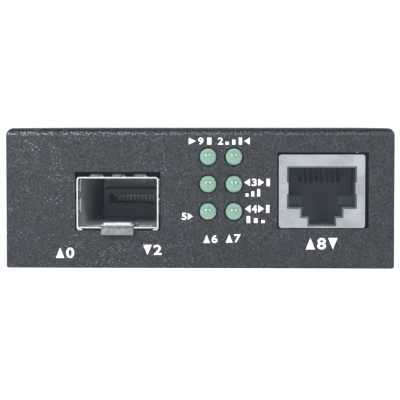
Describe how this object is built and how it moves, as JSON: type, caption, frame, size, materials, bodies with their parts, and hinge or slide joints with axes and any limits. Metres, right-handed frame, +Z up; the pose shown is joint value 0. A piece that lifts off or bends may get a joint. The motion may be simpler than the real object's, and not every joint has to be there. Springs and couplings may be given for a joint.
{
  "type": "fibre media converter",
  "caption": "Small steel-cased fibre to copper media converter with an SFP cage, lamps and an RJ45 jack on the front, and side vents.",
  "frame": {"origin": "centre of the case's underside, on the surface that it stands on", "axes": "+Z up, the front panel faces -Y, +X is to the right of someone who faces the front panel"},
  "size_m": [0.071, 0.096, 0.0256],
  "materials": {
    "powder_coat": "fine textured powder coat, satin",
    "bright_steel": "zinc plated, semi-bright",
    "tinned_shell": "tinned copper alloy, semi-bright",
    "contact_gold": "gold flash, bright",
    "pin_nickel": "nickel plated, bright",
    "black_moulding": "moulded, fine matt",
    "lamp_green": "tinted diffused resin, glossy",
    "board_green": "solder mask over glass laminate, satin",
    "package_black": "moulded package, matt",
    "ferrite_grey": "ferrite, matt",
    "can_aluminium": "drawn can, satin",
    "crystal_can": "nickel plated, satin",
    "chip_ceramic": "fired ceramic, matt"
  },
  "bodies": {
    "root": {"base": "powder_coat", "board_screws": "bright_steel", "board_spacers": "bright_steel", "chip_passives": "chip_ceramic", "circuit_board": "board_green", "clock_crystal": "crystal_can", "converter_chip": "package_black", "cover": "powder_coat", "dc_inlet_body": "black_moulding", "dc_inlet_pin": "pin_nickel", "dc_inlet_spring": "bright_steel", "input_capacitor": "can_aluminium", "led_holder_left": "black_moulding", "led_holder_right": "black_moulding", "led_leads": "bright_steel", "led_left_bottom": "lamp_green", "led_left_middle": "lamp_green", "led_left_top": "lamp_green", "led_right_bottom": "lamp_green", "led_right_middle": "lamp_green", "led_right_top": "lamp_green", "line_transformer": "package_black", "line_transformer_leads": "bright_steel", "output_capacitor": "can_aluminium", "power_inductor": "ferrite_grey", "rj45_contacts": "contact_gold", "rj45_housing": "black_moulding", "rj45_shell": "tinned_shell", "sfp_cage": "tinned_shell", "sfp_cage_floor": "tinned_shell", "sfp_connector": "black_moulding", "sfp_contacts": "contact_gold", "side_screws": "bright_steel", "voltage_regulator": "package_black"}
  },
  "joints": []
}
